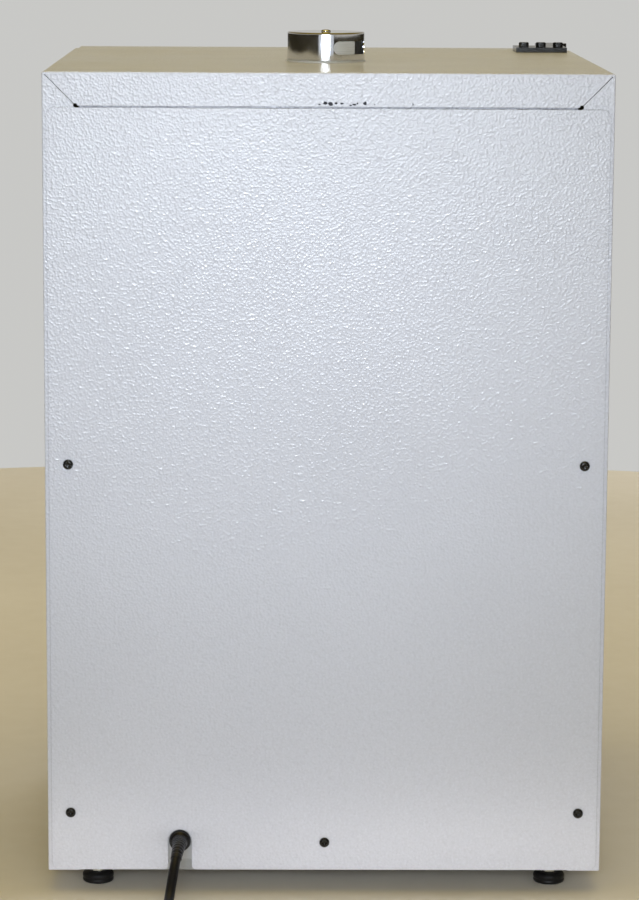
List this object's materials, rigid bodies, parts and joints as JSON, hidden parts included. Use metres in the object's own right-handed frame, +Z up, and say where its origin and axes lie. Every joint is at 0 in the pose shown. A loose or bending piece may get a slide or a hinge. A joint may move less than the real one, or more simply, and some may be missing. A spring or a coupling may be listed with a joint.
{
  "type": "laboratory incubator",
  "caption": "Bench-top laboratory incubator: insulated steel cabinet with outer door, inner glass door, sliding wire shelves, turning exhaust vent, controls and mains lead.",
  "frame": {"origin": "centre of the footprint at the plane the feet stand on", "axes": "+Z up, the doors face -Y, the rear panel faces +Y, +X is to the right of someone facing the doors"},
  "size_m": [0.457, 0.788, 0.7026],
  "materials": {
    "cabinet_paint": "satin",
    "galvanised_steel": "satin",
    "stainless": "satin",
    "chrome": "polished",
    "black_steel": "satin",
    "zinc_screws": "satin",
    "breaker_plastic": "satin",
    "fibreglass": "matte",
    "heater_sheath": "matte",
    "silicone_seal": "matte",
    "grey_seal": "matte",
    "black_plastic": "satin",
    "panel_paint": "satin",
    "dial_aluminium": "satin",
    "copper": "satin",
    "amber_lens": "gloss",
    "terminal_plastic": "matte",
    "wire_insulation": "satin",
    "sleeve_aluminium": "satin",
    "cord_jacket": "satin",
    "foot_rubber": "matte",
    "brass": "polished",
    "nylon": "satin",
    "clear_glass": "polished"
  },
  "bodies": {
    "cabinet": {"cabinet_shell": "cabinet_paint", "base_pan": "galvanised_steel", "rear_panel": "cabinet_paint", "rear_panel_screws": "black_steel", "foot_nuts": "zinc_screws", "front_rail": "cabinet_paint", "face_frame": "breaker_plastic", "face_frame_screws": "zinc_screws", "chamber_liner": "stainless", "insulation": "fibreglass", "heating_element": "heater_sheath", "heater_brackets": "stainless", "diffuser_plate": "stainless", "shelf_rack_left": "stainless", "shelf_rack_right": "stainless", "glass_gasket": "silicone_seal", "glass_hinge_brackets": "chrome", "magnetic_catch": "black_plastic", "top_hinge_plate": "black_steel", "top_hinge_screws": "black_steel", "bottom_hinge_bracket": "black_steel", "bottom_hinge_screws": "black_steel", "control_panel": "panel_paint", "control_panel_screws": "zinc_screws", "temperature_dial": "dial_aluminium", "thermostat": "galvanised_steel", "thermostat_bulb": "copper", "switch_bezel": "black_plastic", "pilot_lamp_bezel": "chrome", "pilot_lamp_lens": "amber_lens", "terminal_block": "terminal_plastic", "wiring_harness": "wire_insulation", "vent_tube": "sleeve_aluminium", "vent_collar": "sleeve_aluminium", "strain_relief": "black_plastic", "power_cord": "cord_jacket", "cord_coil": "cord_jacket", "plug_body": "cord_jacket", "plug_blades": "brass"},
    "outer_door": {"door_skin": "cabinet_paint", "door_liner": "stainless", "door_insulation": "fibreglass", "door_gasket": "grey_seal", "door_handle": "chrome", "door_handle_screws": "zinc_screws", "door_bushings": "nylon"},
    "glass_door": {"glass_pane": "clear_glass", "glass_hinge_leaves": "chrome", "glass_knob": "chrome"},
    "upper_shelf": {"shelf_upper": "chrome"},
    "lower_shelf": {"shelf_lower": "chrome"},
    "temperature_control": {"temperature_knob": "black_plastic"},
    "power_rocker": {"power_switch": "black_plastic"},
    "vent_damper": {"vent_cap": "chrome", "vent_cap_screw": "zinc_screws"},
    "rear_left_foot": {"foot_rear_left": "foot_rubber"},
    "rear_right_foot": {"foot_rear_right": "foot_rubber"},
    "front_left_foot": {"foot_front_left": "foot_rubber"},
    "front_right_foot": {"foot_front_right": "foot_rubber"}
  },
  "joints": [
    {"name": "outer_door_swing", "type": "hinge", "parent": "cabinet", "child": "outer_door", "pos_m": [-0.214, -0.1886, 0.4], "axis": [0, 0, -1], "range_deg": [0, 165]},
    {"name": "glass_door_swing", "type": "hinge", "parent": "cabinet", "child": "glass_door", "pos_m": [-0.179, -0.1502, 0.396], "axis": [0, 0, -1], "range_deg": [0, 85]},
    {"name": "upper_shelf_slide", "type": "slide", "parent": "cabinet", "child": "upper_shelf", "axis": [0, -1, 0], "range_m": [0, 0.0951]},
    {"name": "lower_shelf_slide", "type": "slide", "parent": "cabinet", "child": "lower_shelf", "axis": [0, -1, 0], "range_m": [0, 0.0951]},
    {"name": "temperature_knob_turn", "type": "hinge", "parent": "cabinet", "child": "temperature_control", "pos_m": [0.04, -0.1526, 0.072], "axis": [0, 1, 0], "range_deg": [0, 300]},
    {"name": "power_switch_rock", "type": "hinge", "parent": "cabinet", "child": "power_rocker", "pos_m": [-0.13, -0.1401, 0.072], "axis": [1, 0, 0], "range_deg": [0, 22]},
    {"name": "vent_cap_turn", "type": "hinge", "parent": "cabinet", "child": "vent_damper", "pos_m": [0, 0.0784, 0.69], "axis": [0, 0, 1], "range_deg": [-50, 40]},
    {"name": "rear_left_foot_level", "type": "slide", "parent": "cabinet", "child": "rear_left_foot", "axis": [0, 0, -1], "range_m": [0, 0.008]},
    {"name": "rear_right_foot_level", "type": "slide", "parent": "cabinet", "child": "rear_right_foot", "axis": [0, 0, -1], "range_m": [0, 0.008]},
    {"name": "front_left_foot_level", "type": "slide", "parent": "cabinet", "child": "front_left_foot", "axis": [0, 0, -1], "range_m": [0, 0.008]},
    {"name": "front_right_foot_level", "type": "slide", "parent": "cabinet", "child": "front_right_foot", "axis": [0, 0, -1], "range_m": [0, 0.008]}
  ],
  "couplings": [
    {"joint": "glass_door_swing", "follows": "outer_door_swing", "ratio": 0.515},
    {"joint": "upper_shelf_slide", "follows": "outer_door_swing", "m_per_rad": 0.033},
    {"joint": "lower_shelf_slide", "follows": "outer_door_swing", "m_per_rad": 0.033}
  ]
}
